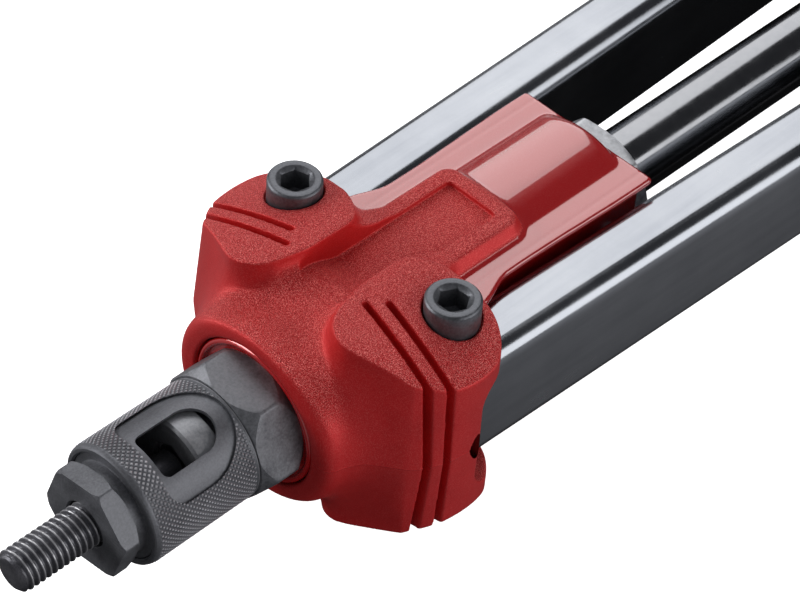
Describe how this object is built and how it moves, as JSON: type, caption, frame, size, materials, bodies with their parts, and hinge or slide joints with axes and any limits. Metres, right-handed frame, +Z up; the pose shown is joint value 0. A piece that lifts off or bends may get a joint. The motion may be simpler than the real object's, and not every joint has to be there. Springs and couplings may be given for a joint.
{
  "type": "rivet nut setting tool",
  "caption": "Two-handed long-arm tool that sets threaded rivet nuts, with a turning threaded mandrel, knurled barrel, lock nut and two pivoting handles.",
  "frame": {"origin": "centre of the nosepiece's front face, on the mandrel's axis, where a rivet nut's flange rests", "axes": "+X runs back along the tool's axis towards the handles' ends, +Y towards the left handle, +Z up, square to the plane the handles swing in"},
  "size_m": [0.3765, 0.082, 0.0483],
  "materials": {
    "red_paint": "fine textured paint on the pads and plate, glossy on the sleeve",
    "red_paint_smooth": "smooth gloss paint",
    "zinc_plate": "mottled bright zinc plating",
    "bearing_bronze": "plain machined bronze",
    "black_oxide": "black oxide, worn lighter on the edges",
    "bare_steel": "bare turned steel",
    "knurled_steel": "grey, finely knurled",
    "phosphated_steel": "dark, turned face and satin flats",
    "mottled_steel": "mottled dark grey",
    "dark_steel": "dark thread with bright crests",
    "machined_steel": "bright machined",
    "polished_chrome": "polished plating",
    "bright_plate": "bright plating with faint drawing lines",
    "forged_steel": "plain forged steel",
    "grip_rubber": "matt moulded rubber",
    "black_plastic": "matt moulded plastic"
  },
  "bodies": {
    "head": {"head_housing": "red_paint", "rear_plug": "zinc_plate", "rod_bush": "bearing_bronze", "left_pivot_screw": "black_oxide", "right_pivot_screw": "black_oxide", "left_pivot_bush": "bare_steel", "right_pivot_bush": "bare_steel", "left_pivot_nut": "bare_steel", "right_pivot_nut": "bare_steel", "thrust_washer": "bearing_bronze"},
    "push_ram": {"ram": "red_paint_smooth"},
    "barrel_stop": {"barrel_stop_ring": "bare_steel"},
    "barrel": {"nose_barrel": "knurled_steel", "nosepiece": "phosphated_steel"},
    "jam_nut": {"lock_nut": "mottled_steel"},
    "spindle": {"mandrel": "dark_steel", "coupler": "machined_steel", "coupler_pin": "bare_steel", "spin_rod": "polished_chrome", "thrust_collar": "bare_steel", "spin_knob": "black_plastic"},
    "left_handle": {"left_handle_tube": "bright_plate", "left_lever": "forged_steel", "left_rivet_front": "zinc_plate", "left_rivet_rear": "zinc_plate", "left_grip": "grip_rubber", "left_end_cap": "black_plastic"},
    "right_handle": {"right_handle_tube": "bright_plate", "right_lever": "forged_steel", "right_rivet_front": "zinc_plate", "right_rivet_rear": "zinc_plate", "right_grip": "grip_rubber", "right_end_cap": "black_plastic"}
  },
  "joints": [
    {"name": "left_handle_swing", "type": "hinge", "parent": "head", "child": "left_handle", "pos_m": [0.0648, 0.0194, 0], "axis": [0, 0, 1], "range_deg": [0, 35]},
    {"name": "right_handle_swing", "type": "hinge", "parent": "head", "child": "right_handle", "pos_m": [0.0648, -0.0194, 0], "axis": [0, 0, -1], "range_deg": [0, 35]},
    {"name": "ram_slide", "type": "slide", "parent": "head", "child": "push_ram", "axis": [1, 0, 0], "range_m": [0, 0.0062]},
    {"name": "barrel_travel", "type": "slide", "parent": "push_ram", "child": "barrel_stop", "axis": [1, 0, 0], "range_m": [-0.0015, 0]},
    {"name": "barrel_turn", "type": "hinge", "parent": "barrel_stop", "child": "barrel", "pos_m": [0.03, 0, 0], "axis": [1, 0, 0], "range_deg": [0, 360]},
    {"name": "lock_nut_turn", "type": "hinge", "parent": "push_ram", "child": "jam_nut", "pos_m": [0.033, 0, 0], "axis": [1, 0, 0], "range_deg": [0, 30]},
    {"name": "spindle_turn", "type": "hinge", "parent": "head", "child": "spindle", "pos_m": [0.1, 0, 0], "axis": [1, 0, 0], "continuous": true}
  ],
  "couplings": [
    {"joint": "right_handle_swing", "follows": "left_handle_swing", "ratio": 1},
    {"joint": "ram_slide", "follows": "left_handle_swing", "m_per_rad": 0.01},
    {"joint": "barrel_turn", "follows": "barrel_travel", "rad_per_m": -4188}
  ]
}
